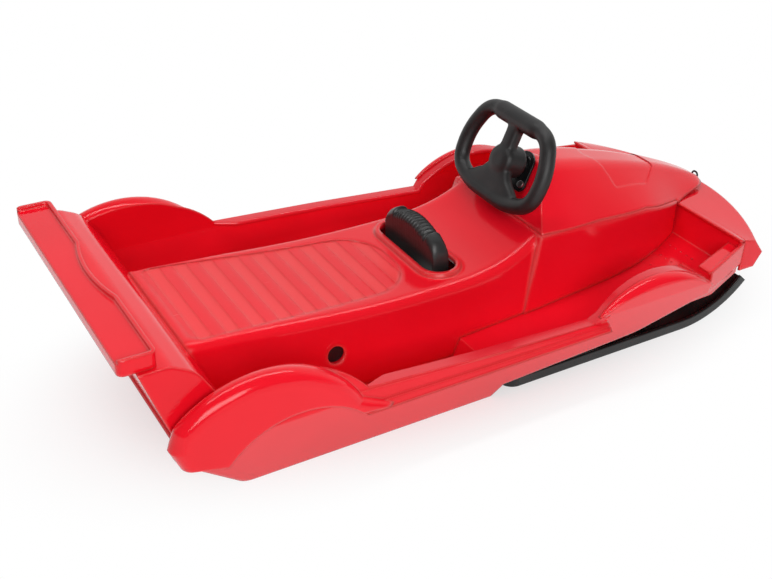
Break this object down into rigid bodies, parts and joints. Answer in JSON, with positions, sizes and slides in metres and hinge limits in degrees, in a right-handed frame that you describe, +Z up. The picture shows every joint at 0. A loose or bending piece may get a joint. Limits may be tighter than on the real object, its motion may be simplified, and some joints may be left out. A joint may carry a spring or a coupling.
{
  "type": "steering sled",
  "caption": "Moulded plastic snow sled with a raised seat, foot wells, a wheel that steers the front ski, a hand brake with a claw, and a rear tray.",
  "frame": {"origin": "on the ground under the middle of the sled", "axes": "+X forward to the nose, +Y to the rider's left, +Z up"},
  "size_m": [1.132, 0.526, 0.3272],
  "materials": {
    "red_plastic": "gloss",
    "soft_black": "soft matte",
    "black_plastic": "satin",
    "ski_plastic": "matte",
    "steel": "zinc plated"
  },
  "bodies": {
    "hull": {"tub": "red_plastic", "rear_deck": "red_plastic", "seat_deck": "red_plastic", "hood_cover": "red_plastic", "hood_screws": "steel", "front_bumper": "red_plastic", "spoiler": "red_plastic", "spoiler_screws": "steel", "brake_axle": "steel", "axle_caps": "black_plastic", "column_bush": "black_plastic", "bush_bolts": "steel", "column_bracket": "black_plastic", "bracket_bolts": "steel", "kingpin_bushes": "black_plastic", "tow_eye": "black_plastic", "tow_eye_nuts": "steel"},
    "steering": {"steering_wheel": "soft_black", "steering_shaft": "steel", "shaft_collars": "steel"},
    "front_ski": {"ski": "ski_plastic", "kingpin": "steel", "steering_lever": "black_plastic", "kingpin_washer": "steel", "kingpin_nut": "steel"},
    "brake": {"brake_lever": "black_plastic", "brake_claw": "steel", "claw_rivets": "steel"}
  },
  "joints": [
    {"name": "wheel_turn", "type": "hinge", "parent": "hull", "child": "steering", "pos_m": [0.1076, 0, 0.2551], "axis": [-0.9239, 0, 0.3827], "range_deg": [-30, 30]},
    {"name": "ski_turn", "type": "hinge", "parent": "hull", "child": "front_ski", "pos_m": [0.33051, 0, 0.03], "axis": [0, 0, 1], "range_deg": [-14.7, 14.7]},
    {"name": "brake_pull", "type": "hinge", "parent": "hull", "child": "brake", "pos_m": [-0.241, 0, 0.088], "axis": [0, -1, 0], "range_deg": [0, 10]}
  ],
  "couplings": [
    {"joint": "ski_turn", "follows": "wheel_turn", "ratio": 0.49}
  ]
}
